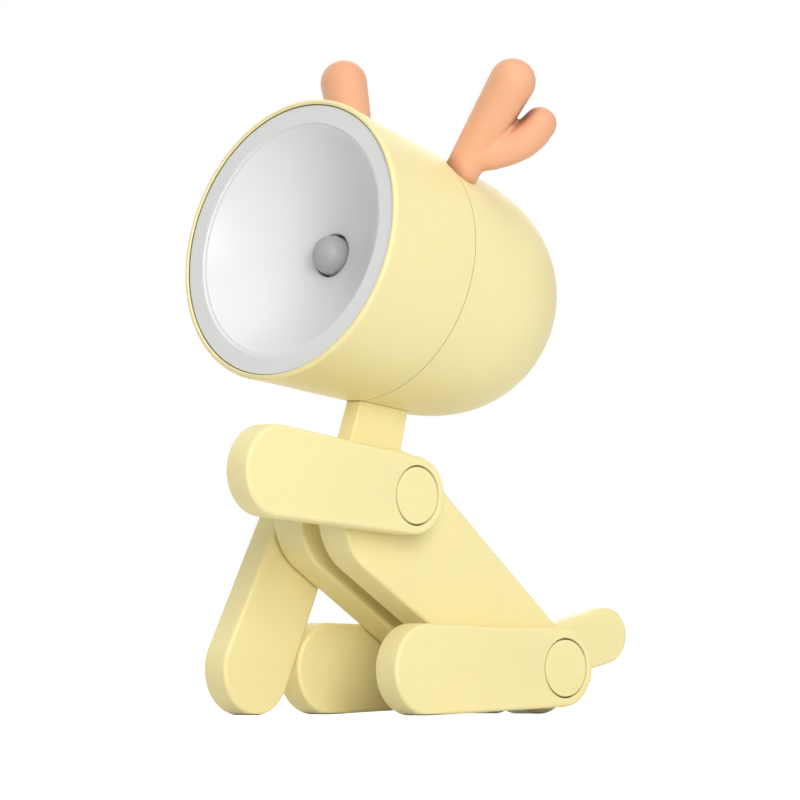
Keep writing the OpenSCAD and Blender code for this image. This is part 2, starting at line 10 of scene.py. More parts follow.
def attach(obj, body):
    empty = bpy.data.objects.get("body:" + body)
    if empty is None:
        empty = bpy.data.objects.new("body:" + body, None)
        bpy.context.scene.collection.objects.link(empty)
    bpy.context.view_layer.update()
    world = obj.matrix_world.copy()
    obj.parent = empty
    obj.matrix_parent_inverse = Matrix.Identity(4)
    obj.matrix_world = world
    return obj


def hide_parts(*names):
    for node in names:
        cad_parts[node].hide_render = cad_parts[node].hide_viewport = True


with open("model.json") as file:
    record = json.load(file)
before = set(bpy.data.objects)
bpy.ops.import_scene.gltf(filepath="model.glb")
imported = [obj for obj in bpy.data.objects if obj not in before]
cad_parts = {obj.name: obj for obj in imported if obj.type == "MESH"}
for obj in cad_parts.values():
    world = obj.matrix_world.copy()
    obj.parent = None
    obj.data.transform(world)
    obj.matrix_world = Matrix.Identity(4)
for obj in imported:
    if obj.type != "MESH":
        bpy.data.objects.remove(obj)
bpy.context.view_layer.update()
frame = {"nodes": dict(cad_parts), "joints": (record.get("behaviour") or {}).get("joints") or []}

MM = 0.001

# Places that the frame gives, in millimetres
joints = {j["name"]: j for j in frame["joints"]}
SHOULDER = Vector(joints["neck_tilt"]["pos_m"]) / MM
HIP = Vector(joints["tail_swing"]["pos_m"]) / MM
FORWARD = Vector(joints["switch_press"]["axis"])
HEAD_UP = Vector((0, FORWARD.z, -FORWARD.y))
HEAD_RISE = 33.8
HEAD_AHEAD = 24.2
HEAD_RIM = SHOULDER + HEAD_UP * HEAD_RISE + FORWARD * HEAD_AHEAD

# Sizes of the plates, legs and bars, in millimetres and degrees
PIVOT_SPAN = (SHOULDER - HIP).length
TORSO_PITCH = math.degrees(math.atan2(SHOULDER.z - HIP.z, HIP.y - SHOULDER.y))
SLAB_FLAT = 0.12
PLATE_IN = 1.8
PLATE_OUT = 7.8
PLATE_EDGE = 0.6
HIP_R = 7.0
CHEST_R = 10.0
CHEST_BACK = 1.3
CHEST_DROP = 2.5
LEG_IN = 8.1
LEG_T = 4.8
LEG_OUT = LEG_IN + LEG_T
LEG_EDGE = 0.6
LEG_LEN = 29.6
LEG_HUB_R = 5.95
FOOT_R = 7.0
ARM_LIFT = 7.5
PLANTED_DROP = math.degrees(math.asin((SHOULDER.z - FOOT_R) / LEG_LEN))
AXLE_R = 2.0
PRESS_PLAY = 0.02
TURN_PLAY = 0.05
WASHER_FLOOR = 2.0
WASHER_POCKET_R = 3.5
CAP_R = 4.6
CAP_T = 1.1
CAP_GROOVE = 0.27
CAP_LEDGE = 0.2
CAP_CHAMFER = 0.1
CAP_ROUND = 0.14
CAP_FLAT = 0.15
CAP_BORE_LIP = 0.12
BAR_T = 3.2
NECK_EDGE = 0.3
NECK_LEAN = 17.4
NECK_LEN = 21.8
NECK_HUB_R = 5.85
NECK_TOP_HALF = 4.7
NECK_CORNER = 0.5
TAIL_EDGE = 0.7
TAIL_LIFT = 13.0
TAIL_LEN = 21.1
TAIL_HUB_R = 4.3
TAIL_TIP_R = 4.3

# Sizes of the head, in millimetres; a station is the distance behind the rim
RIM_R = 22.1
RIM_ROUND = 0.6
RIM_LIP = 0.25
HEAD_TAPER = 0.1
CONE_LEN = 30.3
DOME_LEN = 19.85
DOME_POWER = 2.5
DOME_STEPS = 40
SHELL_WALL = 1.6
FRONT_STATIONS = (1.2, 4, 8, 12, 16)
REAR_STATIONS = (22, 24, 26, 28)
SEAM = 19.9
SEAM_GAP = 0.045
SEAM_DEPTH = 0.08
SEAM_BAND = 0.5
LAP_LEN = 3.0
LAP_PLAY = 0.3
LAP_BEVEL = 0.15
RING_R = 21.1
RING_GAP = 0.2
RING_SHOWN_GAP = 0.06
RING_RECESS = 0.3
RING_T = 1.5
RING_SEAT = RING_RECESS + RING_T
RING_EDGE = 0.2
RING_FLAT = 0.15
LEDGE_T = 1.6
LEDGE_REACH = 0.7
LEDGE_SLOPE = 2
BOWL_R = 18.25
BOWL_DEPTH = 9.4
BOWL_WALL = 1.3
BOWL_SKIN = BOWL_WALL * 1.1
BOWL_LIP = 0.3
BOWL_END = BOWL_LIP * 1.2
BOWL_STEPS = 48
BOWL_BACK_INSET = 0.2
BOWL_BACK_FLARE = 0.6
LAMP_HOLE_R = 3.4
LAMP_HOLE_ROUND = ((0, 0.25), (0.08, 0.06))
LAMP_HOLE_EDGE = 0.2
LAMP_R = 3.0
LAMP_LEN = 5.0
LAMP_FOOT_PLAY = 0.3
LAMP_FLANGE_T = 0.85
LAMP_FILLET = ((0, 1.0), (0.05, 0.9))
LAMP_TURN = 96
BOARD_GAP = 2
BUTTON_R = 4.4
BUTTON_ROUND = 0.6
BUTTON_FLAT = 0.4
BUTTON_DISH = ((2.4, 0.06), (1.2, 0.16), (0, 0.2))
BUTTON_PROUD = 1.6
BUTTON_FLANGE_R = 5.6
BUTTON_FLANGE_T = 1.2
BUTTON_FLANGE_PLAY = 0.35
BUTTON_TURN = 96
BUTTON_HOLE_R = 4.7
BUTTON_HOLE_ROUND = 0.25
BUTTON_HOLE_EDGE = (0.12, 0.02)
BUTTON_HOLE_DROP = 0.16

# Sizes of the antlers, in millimetres and degrees
ANTLER_S = 22.4
ANTLER_ANGLE = 33.5
ANTLER_FOOT_R = 2.7
TINE_RUN = Vector((7.2, 3.8, 13.8))
TINE_TIP_R = 3.6
SIDE_RUN = Vector((9.0, 7.9, 7.4))
SIDE_TIP_R = 2.6
SIDE_SHARES = (0, 0.2, 0.4, 0.6, 0.8, 1)
ELBOW_SHARE = 0.68
ELBOW_UP = 4.3
ELBOW_R = 2.9
BRANCH_SHARE = 0.2
TINE_TURN = 40
TINE_END_STEPS = 12
BLEND_VOXEL = 0.22
BLEND_FACTOR = 0.5
BLEND_PASSES = 22
SEAT_SPECK = 0.004
CUTTER_START = 2
CUTTER_STATIONS = range(6, 31, 4)
CUTTER_DOME_STEPS = 29
CUTTER_TURN = 160

# Fineness of the meshes
TURN = 128
OUTLINE_POINTS = 160
BORE_POINTS = 96
ON_AXIS = 1e-6
HALVINGS = 60
SHARP_ANGLE = math.radians(32)

# Scales of the finishes, in cells per metre
GRAIN_SCALE = 2600.0
PIT_SCALE = 900.0
HAZE_SCALE = 240.0
DRIFT_SCALE = 70.0
WEAR_SCALE = 320.0
# Patch size of the painted shade in grooves and creases
SHADE_PATCH_SCALE = 500.0
LINE_SCALE = 1800.0
LINE_STRETCH = (0.06, 1.0, 1.0)

# Depths and strengths of the finishes, lengths in metres
PIT_SHARE = 0.6
NOISE_RANGE = (0.3, 0.7)
GRAIN_HEIGHT = 0.00005
WEAR_WIDTH = 0.0006
WEAR_WIDTH_METAL = 0.0003
WEAR_GAIN = 9.0
WEAR_BASE = 0.35
WEAR_SAMPLES = 6
EDGE_SHINE = 1.15
# Reach, strength, open threshold and patch base of the painted shade in grooves and creases
CREVICE_REACH = 0.00028
CREVICE_GAIN = 1.5
CREVICE_OPEN = 0.8
CREVICE_BASE = 0.6
CREVICE_SAMPLES = 12

# Stage, lengths in metres
FLOOR_HALF = 4.0
FLOOR_PAPER = (0.8, 0.8, 0.8, 1)
FLOOR_GLOW = 0.85
WHITE = (1, 1, 1, 1)
ROOM_FILL = 0.24
LIT_MIDDLE = Vector((0, 0, 0.045))
PHOTO_WIDTH_PIXELS = 800
PIXELS_PER_MM = 6.564
SENSOR_WIDTH = 36.0
LENS = 1200.0
CAMERA_AIM = Vector((-0.59, -0.59, 47.92)) * MM
CAMERA_AZIMUTH = 45
CAMERA_CLIP = (0.1, 50.0)


# Finishes


def noise(tree, coords, scale, detail, rough):
    tex = tree.nodes.new("ShaderNodeTexNoise")
    tex.inputs["Scale"].default_value = scale
    tex.inputs["Detail"].default_value = detail
    tex.inputs["Roughness"].default_value = rough
    tree.links.new(coords, tex.inputs["Vector"])
    return tex.outputs["Fac"]


def object_place(tree):
    return tree.nodes.new("ShaderNodeTexCoord").outputs["Object"]


def math_node(tree, operation, a, b, clamp=False):
    node = tree.nodes.new("ShaderNodeMath")
    node.operation = operation
    node.use_clamp = clamp
    for socket, value in zip(node.inputs, (a, b)):
        if isinstance(value, (int, float)):
            socket.default_value = value
        else:
            tree.links.new(value, socket)
    return node.outputs[0]


def group_shell(name, inputs, outputs):
    """Empty node group with named float inputs and outputs."""
    tree = bpy.data.node_groups.new(name, "ShaderNodeTree")
    for label, value in inputs:
        socket = tree.interface.new_socket(label, in_out="INPUT", socket_type="NodeSocketFloat")
        socket.default_value = value
    for label in outputs:
        tree.interface.new_socket(label, in_out="OUTPUT", socket_type="NodeSocketFloat")
    return tree, tree.nodes.new("NodeGroupInput"), tree.nodes.new("NodeGroupOutput")


def make_moulding_grain():
    """Fine spark-eroded tool texture and slow colour drift of moulded plastic."""
    tree, inp, out = group_shell(
        "moulding_grain",
        [("Grain Scale", GRAIN_SCALE), ("Drift Scale", DRIFT_SCALE)],
        ["Grain", "Drift", "Haze"],
    )
    place = object_place(tree)
    fine = noise(tree, place, GRAIN_SCALE, 3.0, 0.55)
    tree.links.new(inp.outputs["Grain Scale"], fine.node.inputs["Scale"])
    pits = noise(tree, place, PIT_SCALE, 2.0, 0.5)
    grain = math_node(tree, "ADD", fine, math_node(tree, "MULTIPLY", pits, PIT_SHARE))
    drift = noise(tree, place, DRIFT_SCALE, 3.0, 0.6)
    tree.links.new(inp.outputs["Drift Scale"], drift.node.inputs["Scale"])
    haze = noise(tree, place, HAZE_SCALE, 4.0, 0.62)
    for label, value in (("Grain", grain), ("Drift", drift), ("Haze", haze)):
        tree.links.new(value, out.inputs[label])
    return tree


def make_edge_wear():
    """Mask of the outer edges, where handling polishes and lightens the skin."""
    tree, inp, out = group_shell("edge_wear", [("Width", WEAR_WIDTH), ("Gain", WEAR_GAIN)], ["Edge"])
    bevel = tree.nodes.new("ShaderNodeBevel")
    bevel.samples = WEAR_SAMPLES
    tree.links.new(inp.outputs["Width"], bevel.inputs["Radius"])
    geometry = tree.nodes.new("ShaderNodeNewGeometry")
    dot = tree.nodes.new("ShaderNodeVectorMath")
    dot.operation = "DOT_PRODUCT"
    tree.links.new(bevel.outputs["Normal"], dot.inputs[0])
    tree.links.new(geometry.outputs["Normal"], dot.inputs[1])
    turned = math_node(tree, "SUBTRACT", 1.0, dot.outputs["Value"])
    edge = math_node(tree, "MULTIPLY", turned, inp.outputs["Gain"], clamp=True)
    broken = math_node(tree, "ADD", noise(tree, object_place(tree), WEAR_SCALE, 3.0, 0.6), WEAR_BASE)
    worn = math_node(tree, "MULTIPLY", edge, broken, clamp=True)
    tree.links.new(worn, out.inputs["Edge"])
    return tree


def make_painted_crevice_shade():
    """Mask of painted shade in grooves and creases, where nearby surfaces keep the light out, broken into
    patches.
    """
    tree, inp, out = group_shell("painted_groove_shade", [("Reach", CREVICE_REACH), ("Gain", CREVICE_GAIN)], ["Shade"])
    hidden = tree.nodes.new("ShaderNodeAmbientOcclusion")
    hidden.samples = CREVICE_SAMPLES
    tree.links.new(inp.outputs["Reach"], hidden.inputs["Distance"])
    # Painted shade: the less open a spot is to its surroundings, the darker its colour is painted.
    closed = math_node(tree, "SUBTRACT", CREVICE_OPEN, hidden.outputs["AO"])
    shade = math_node(tree, "MULTIPLY", closed, inp.outputs["Gain"], clamp=True)
    patchy = math_node(tree, "ADD", noise(tree, object_place(tree), SHADE_PATCH_SCALE, 2.0, 0.5), CREVICE_BASE)
    painted_shade_mask = math_node(tree, "MULTIPLY", shade, patchy, clamp=True)
    tree.links.new(painted_shade_mask, out.inputs["Shade"])
    return tree


def make_drawn_lines():
    """Fine drawn lines across plated metal."""
    tree, inp, out = group_shell("drawn_lines", [("Line Scale", LINE_SCALE)], ["Lines"])
    stretch = tree.nodes.new("ShaderNodeMapping")
    stretch.inputs["Scale"].default_value = LINE_STRETCH
    tree.links.new(object_place(tree), stretch.inputs["Vector"])
    lines = noise(tree, stretch.outputs["Vector"], LINE_SCALE, 3.0, 0.5)
    tree.links.new(inp.outputs["Line Scale"], lines.node.inputs["Scale"])
    tree.links.new(lines, out.inputs["Lines"])
    return tree


MOULDING_GRAIN = make_moulding_grain()
EDGE_WEAR = make_edge_wear()
CREVICE_SHADE_GROUP = make_painted_crevice_shade()
DRAWN_LINES = make_drawn_lines()


def place_group(tree, group, **values):
    node = tree.nodes.new("ShaderNodeGroup")
    node.node_tree = group
    for label, value in values.items():
        node.inputs[label].default_value = value
    return node


def mix_colour(tree, factor, a, b):
    """Mix of two colours, each a tuple or another node's output."""
    node = tree.nodes.new("ShaderNodeMix")
    node.data_type = "RGBA"
    tree.links.new(factor, node.inputs["Factor"])
    for socket, value in ((node.inputs["A"], a), (node.inputs["B"], b)):
        if isinstance(value, tuple):
            socket.default_value = (*value, 1.0)
        else:
            tree.links.new(value, socket)
    return node.outputs["Result"]


def span(tree, value, low, high):
    """Spreads the usual range of a noise over low to high."""
    node = tree.nodes.new("ShaderNodeMapRange")
    node.inputs["From Min"].default_value, node.inputs["From Max"].default_value = NOISE_RANGE
    node.inputs["To Min"].default_value = low
    node.inputs["To Max"].default_value = high
    tree.links.new(value, node.inputs["Value"])
    return node.outputs["Result"]


def fresh_material(name):
    mat = bpy.data.materials.new(name)
    mat.use_nodes = True
    tree = mat.node_tree
    return mat, tree, tree.nodes["Principled BSDF"]


def moulded_plastic(
    name, colour, drift, edge, shade_colour, rough, bump, reach=CREVICE_REACH, gain=CREVICE_GAIN, **sockets
):
    """Satin moulded plastic: colour drift, lighter handled edges, shade painted into grooves and creases,
    and grain.
    """
    mat, tree, shader = fresh_material(name)
    grain = place_group(tree, MOULDING_GRAIN)
    wear = place_group(tree, EDGE_WEAR)
    painted_groove_shade = place_group(tree, CREVICE_SHADE_GROUP, Reach=reach, Gain=gain)
    body = mix_colour(tree, span(tree, grain.outputs["Drift"], 0.0, 1.0), colour, drift)
    handled = mix_colour(tree, wear.outputs["Edge"], body, edge)
    # Painted shade: grooves and creases are darkened in the base colour towards the finish's shade
    # colour.
    skin = mix_colour(tree, painted_groove_shade.outputs["Shade"], handled, shade_colour)
    tree.links.new(skin, shader.inputs["Base Color"])
    tree.links.new(span(tree, grain.outputs["Haze"], *rough), shader.inputs["Roughness"])
    bumps = tree.nodes.new("ShaderNodeBump")
    bumps.inputs["Strength"].default_value = bump
    bumps.inputs["Distance"].default_value = GRAIN_HEIGHT
    tree.links.new(grain.outputs["Grain"], bumps.inputs["Height"])
    tree.links.new(bumps.outputs["Normal"], shader.inputs["Normal"])
    for label, value in sockets.items():
        shader.inputs[label.replace("_", " ")].default_value = value
    return mat


def plated_metal(name, colour, dark, rough):
    """Plated metal with drawn lines and brighter edges."""
    mat, tree, shader = fresh_material(name)
    lines = place_group(tree, DRAWN_LINES)
    wear = place_group(tree, EDGE_WEAR, Width=WEAR_WIDTH_METAL)
    tone = mix_colour(tree, span(tree, lines.outputs["Lines"], 0.0, 1.0), dark, colour)
    bright = tuple(min(1.0, c * EDGE_SHINE) for c in colour)
    tree.links.new(mix_colour(tree, wear.outputs["Edge"], tone, bright), shader.inputs["Base Color"])
    tree.links.new(span(tree, lines.outputs["Lines"], *rough), shader.inputs["Roughness"])
    shader.inputs["Metallic"].default_value = 1.0
    return mat


# Each finish's shade colour, reach and gain paint shade into its grooves and creases; the peach's long
# reach paints shade down the antlers' fork.
YELLOW = moulded_plastic(
    "butter_yellow_plastic",
    colour=(0.915, 0.805, 0.41), drift=(0.925, 0.82, 0.425), edge=(0.93, 0.835, 0.46),
    shade_colour=(0.14, 0.085, 0.012), rough=(0.40, 0.50), bump=0.03, reach=0.00032, gain=2.4,
    Subsurface_Weight=0.12, Subsurface_Scale=0.0008, Specular_IOR_Level=0.25,
)
PEACH = moulded_plastic(
    "peach_plastic",
    colour=(0.83, 0.42, 0.24), drift=(0.85, 0.45, 0.265), edge=(0.85, 0.455, 0.275),
    shade_colour=(0.30, 0.09, 0.045), rough=(0.42, 0.52), bump=0.03, reach=0.004, gain=2.0,
    Subsurface_Weight=0.15, Subsurface_Scale=0.001, Specular_IOR_Level=0.3,
)
BOWL_WHITE = moulded_plastic(
    "reflector_white_plastic",
    colour=(0.745, 0.745, 0.74), drift=(0.76, 0.76, 0.755), edge=(0.80, 0.80, 0.795),
    shade_colour=(0.34, 0.32, 0.27), rough=(0.32, 0.37), bump=0.003,
)
LAMP_FROST = moulded_plastic(
    "frosted_lamp_lens",
    colour=(0.41, 0.41, 0.405), drift=(0.44, 0.44, 0.435), edge=(0.48, 0.48, 0.475),
    shade_colour=(0.10, 0.10, 0.10), rough=(0.30, 0.40), bump=0.02,
    Subsurface_Weight=0.3, Subsurface_Scale=0.001,
)
BLACK = moulded_plastic(
    "black_inner_plastic",
    colour=(0.02, 0.02, 0.022), drift=(0.03, 0.03, 0.032), edge=(0.07, 0.07, 0.07),
    shade_colour=(0.01, 0.01, 0.01), rough=(0.5, 0.62), bump=0.05,
)
BOARD = moulded_plastic(
    "solder_mask_green",
    colour=(0.03, 0.14, 0.06), drift=(0.04, 0.17, 0.075), edge=(0.3, 0.28, 0.12),
    shade_colour=(0.01, 0.05, 0.02), rough=(0.3, 0.42), bump=0.02,
)
WIRE = moulded_plastic(
    "wire_skin_red",
    colour=(0.35, 0.02, 0.015), drift=(0.40, 0.03, 0.02), edge=(0.5, 0.08, 0.06),
    shade_colour=(0.12, 0.01, 0.01), rough=(0.36, 0.48), bump=0.02,
)
STEEL = plated_metal(
    "plated_steel", colour=(0.62, 0.63, 0.65), dark=(0.52, 0.53, 0.55), rough=(0.22, 0.38)
)
CELL_CAN = plated_metal(
    "cell_can_nickel", colour=(0.74, 0.74, 0.73), dark=(0.66, 0.66, 0.65), rough=(0.14, 0.24)
)


# Mesh tools


def head_frame():
    """The head's own frame: X to the animal's left, Y down, Z back along the axis from the rim."""
    turn = Matrix((Vector((1, 0, 0)), -HEAD_UP, -FORWARD)).transposed().to_4x4()
    return Matrix.Translation(HEAD_RIM) @ turn


HEAD_FRAME = head_frame()
MIRROR = Matrix.Scale(-1, 4, Vector((1, 0, 0)))


def link_object(name, bm):
    """Moves mesh work into a new object in the scene."""
    mesh = bpy.data.meshes.new(name)
    bm.to_mesh(mesh)
    bm.free()
    obj = bpy.data.objects.new(name, mesh)
    bpy.context.scene.collection.objects.link(obj)
    return obj


def finish_piece(name, bm, body, material, place=None):
    """Turns millimetre mesh work into a piece that rides on a body and stands for its solid."""
    if place is not None:
        bm.transform(place)
    bm.transform(Matrix.Scale(MM, 4))
    bmesh.ops.recalc_face_normals(bm, faces=bm.faces[:])
    if bm.calc_volume(signed=True) < 0:
        bmesh.ops.reverse_faces(bm, faces=bm.faces[:])
    for face in bm.faces:
        face.smooth = True
    for edge in bm.edges:
        if len(edge.link_faces) == 2:
            edge.smooth = edge.calc_face_angle(0.0) < SHARP_ANGLE
    piece = link_object(name + "_shown", bm)
    piece.data.materials.append(material)
    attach(piece, body)
    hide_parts(name)


def arc(centre, radius, start, end, steps):
    """Points on an arc in a profile's plane, angles in degrees."""
    points = []
    for i in range(steps + 1):
        a = math.radians(start + (end - start) * i / steps)
        points.append((centre[0] + radius * math.cos(a), centre[1] + radius * math.sin(a)))
    return points


def round_points(count):
    """Evenly spread points on the unit circle."""
    angles = [2 * math.pi * k / count for k in range(count)]
    return [(math.cos(a), math.sin(a)) for a in angles]


def join_rings(bm, a, b):
    """Faces between two rings of points; a ring of one point lies on the axis."""
    count = max(len(a), len(b))
    for k in range(count):
        n = (k + 1) % count
        if len(a) == 1:
            bm.faces.new((a[0], b[n], b[k]))
        elif len(b) == 1:
            bm.faces.new((a[k], a[n], b[0]))
        else:
            bm.faces.new((a[k], a[n], b[n], b[k]))


def revolve(bm, profile, closed=True, turn=TURN):
    """Turns (radius, station) points about Z."""
    around = round_points(turn)
    rings = []
    for radius, station in profile:
        if radius < ON_AXIS:
            rings.append([bm.verts.new((0, 0, station))])
        else:
            rings.append([bm.verts.new((radius * x, radius * y, station)) for x, y in around])
    pairs = list(zip(rings, rings[1:]))
    if closed:
        pairs.append((rings[-1], rings[0]))
    for a, b in pairs:
        join_rings(bm, a, b)


def hull_outline(circles, inset):
    """Outline round a few circles, drawn in by an inset."""
    points = []
    for way in map(Vector, round_points(OUTLINE_POINTS)):
        centre, radius = max(circles, key=lambda c: Vector(c[0]).dot(way) + c[1])
        points.append(Vector(centre) + way * (radius - inset))
    return points


def circle_points(centre, radius):
    return [Vector(centre) + Vector(way) * radius for way in round_points(BORE_POINTS)]


def ring_at(bm, points, x):
    return [bm.verts.new((x, p.x, p.y)) for p in points]


def loop_edges(bm, ring):
    edges = []
    for a, b in zip(ring, ring[1:] + ring[:1]):
        edges.append(bm.edges.get((a, b)) or bm.edges.new((a, b)))
    return edges


def soft_slab(bm, circles, x0, x1, edge, bores, steps=8):
    """Flat bar or plate with rounded edges, in a plane across X, pierced by stepped bores.

    A bore is its centre and its (x, radius) steps from the face at x0 to the face at x1.
    """
    quarter = [math.pi / 2 * i / steps for i in range(steps + 1)]
    sections = [(edge + SLAB_FLAT, x0)]
    sections += [(edge * (1 - math.sin(a)), x0 + edge * (1 - math.cos(a))) for a in quarter]
    sections += [(edge * (1 - math.cos(a)), x1 - edge * (1 - math.sin(a))) for a in quarter]
    sections += [(edge + SLAB_FLAT, x1)]
    rings = [ring_at(bm, hull_outline(circles, inset), x) for inset, x in sections]
    for a, b in zip(rings, rings[1:]):
        join_rings(bm, a, b)
    low_loops, high_loops = loop_edges(bm, rings[0]), loop_edges(bm, rings[-1])
    for centre, stations in bores:
        walls = [ring_at(bm, circle_points(centre, radius), x) for x, radius in stations]
        for a, b in zip(walls, walls[1:]):
            join_rings(bm, b, a)
        low_loops += loop_edges(bm, walls[0])
        high_loops += loop_edges(bm, walls[-1])
    for edges in (low_loops, high_loops):
        bmesh.ops.triangle_fill(bm, use_beauty=True, use_dissolve=False, edges=edges)


# Plates, legs and bars


def bar_place(pivot, drop):
    """The bar's own frame: pivot at the origin, the bar along -Y, turned about X."""
    return Matrix.Translation(pivot) @ Matrix.Rotation(math.radians(drop), 4, "X")


def finish_bar(name, bm, body, pivot, drop, side=1):
    """Finishes a yellow piece built on the animal's left, mirrored where its side is -1."""
    if side < 0:
        bm.transform(MIRROR)
    finish_piece(name, bm, body, YELLOW, bar_place(pivot, drop))


def build_leg(name, body, pivot, drop, side):
    bm = bmesh.new()
    bore = [
        (LEG_IN, AXLE_R + TURN_PLAY),
        (LEG_IN + WASHER_FLOOR, AXLE_R + TURN_PLAY),
        (LEG_IN + WASHER_FLOOR, WASHER_POCKET_R),
        (LEG_OUT - CAP_T, WASHER_POCKET_R),
        (LEG_OUT - CAP_T, CAP_R + PRESS_PLAY),
    ]
    lip_centre = (CAP_R + PRESS_PLAY + CAP_BORE_LIP, LEG_OUT - CAP_BORE_LIP)
    bore += [(x, r) for r, x in arc(lip_centre, CAP_BORE_LIP, 180, 90, 4)]
    circles = [((0, 0), LEG_HUB_R), ((-LEG_LEN, 0), FOOT_R)]
    soft_slab(bm, circles, LEG_IN, LEG_OUT, LEG_EDGE, [((0, 0), bore)])
    finish_bar(name, bm, body, pivot, drop, side)


def build_cap(name, body, pivot, drop, side):
    bm = bmesh.new()
    base = LEG_OUT - CAP_T
    neck = CAP_R - CAP_GROOVE
    profile = [
        (0, base),
        (CAP_R - CAP_CHAMFER, base),
        (CAP_R, base + CAP_CHAMFER),
        (CAP_R, base + CAP_LEDGE),
        (neck, base + CAP_LEDGE),
    ]
    profile += arc((neck - CAP_ROUND, LEG_OUT - CAP_ROUND), CAP_ROUND, 0, 90, 5)
    profile += [(neck - CAP_ROUND - CAP_FLAT, LEG_OUT), (0, LEG_OUT)]
    revolve(bm, profile, closed=False)
    bm.transform(Matrix.Rotation(math.pi / 2, 4, "Y"))
    finish_bar(name, bm, body, pivot, drop, side)


def build_plate(name, side):
    bm = bmesh.new()
    chest = (CHEST_BACK - PIVOT_SPAN, -CHEST_DROP)
    bore = [(PLATE_IN, AXLE_R + PRESS_PLAY), (PLATE_OUT, AXLE_R + PRESS_PLAY)]
    bores = [(centre, bore) for centre in ((0, 0), (-PIVOT_SPAN, 0))]
    soft_slab(bm, [((0, 0), HIP_R), (chest, CHEST_R)], PLATE_IN, PLATE_OUT, PLATE_EDGE, bores)
    finish_bar(name, bm, "torso", HIP, -TORSO_PITCH, side)


BAR_BORE = ((0, 0), [(-BAR_T / 2, AXLE_R + TURN_PLAY), (BAR_T / 2, AXLE_R + TURN_PLAY)])


def build_neck():
    bm = bmesh.new()
    top = NECK_LEN - NECK_CORNER
    half = NECK_TOP_HALF - NECK_CORNER
    circles = [((0, 0), NECK_HUB_R), ((-top, -half), NECK_CORNER), ((-top, half), NECK_CORNER)]
    soft_slab(bm, circles, -BAR_T / 2, BAR_T / 2, NECK_EDGE, [BAR_BORE], steps=5)
    finish_bar("neck_bar", bm, "head", SHOULDER, -90 - NECK_LEAN)


def build_tail():
    bm = bmesh.new()
    circles = [((0, 0), TAIL_HUB_R), ((-TAIL_LEN, 0), TAIL_TIP_R)]
    soft_slab(bm, circles, -BAR_T / 2, BAR_T / 2, TAIL_EDGE, [BAR_BORE], steps=6)
    finish_bar("tail", bm, "tail", HIP, 180 + TAIL_LIFT)


# Head


def dome_share(s, length):
    if s <= CONE_LEN:
        return 1.0
    return max(0.0, 1 - ((s - CONE_LEN) / length) ** DOME_POWER) ** (1 / DOME_POWER)


def outer_r(s):
    return (RIM_R - HEAD_TAPER * s) * dome_share(s, DOME_LEN)


def inner_r(s):
    return (RIM_R - HEAD_TAPER * s - SHELL_WALL) * dome_share(s, DOME_LEN - SHELL_WALL)


def station_at(radius_of, radius, low, high):
    """Station where a falling radius reaches a value."""
    for _ in range(HALVINGS):
        mid = (low + high) / 2
        if radius_of(mid) > radius:
            low = mid
        else:
            high = mid
    return (low + high) / 2


def bowl_station(r):
    return RING_RECESS + BOWL_DEPTH * (1 - (r / BOWL_R) ** 2)


BOARD_S = bowl_station(LAMP_HOLE_R) + BOARD_GAP
DOME_END = CONE_LEN + DOME_LEN


def dome_points(radius_of, length, last):
    """Points of a dome from its foot to a last station, closest where it curves most."""
    turn = math.asin((last - CONE_LEN) / length)
    stations = [CONE_LEN + length * math.sin(turn * i / DOME_STEPS) for i in range(DOME_STEPS + 1)]
    return [(radius_of(s), s) for s in stations]


def build_front_shell():
    bm = bmesh.new()
    pocket = RING_R + RING_GAP
    lap_r = outer_r(SEAM) - SHELL_WALL / 2
    lap_start = SEAM - LAP_LEN - LAP_PLAY
    groove_r = outer_r(SEAM) - SEAM_DEPTH
    ledge = RING_SEAT + LEDGE_T
    ledge_r = BOWL_R + BOWL_WALL - LEDGE_REACH
    ledge_end = ledge + LEDGE_SLOPE
    profile = arc((pocket + RIM_LIP, RIM_LIP), RIM_LIP, 180, 270, 5)
    profile += arc((RIM_R - RIM_ROUND, RIM_ROUND), RIM_ROUND, -90, 0, 8)
    stations = (*FRONT_STATIONS, SEAM - SEAM_BAND, SEAM - SEAM_GAP)
    profile += [(outer_r(s), s) for s in stations]
    profile += [
        (groove_r, SEAM - SEAM_GAP),
        (groove_r, SEAM),
        (lap_r, SEAM),
        (lap_r, lap_start),
        (outer_r(lap_start) - SHELL_WALL, lap_start),
        (outer_r(ledge_end) - SHELL_WALL, ledge_end),
        (ledge_r, ledge),
        (ledge_r, RING_SEAT),
        (pocket, RING_SEAT),
    ]
    revolve(bm, profile)
    finish_piece("front_shell", bm, "head", YELLOW, HEAD_FRAME)


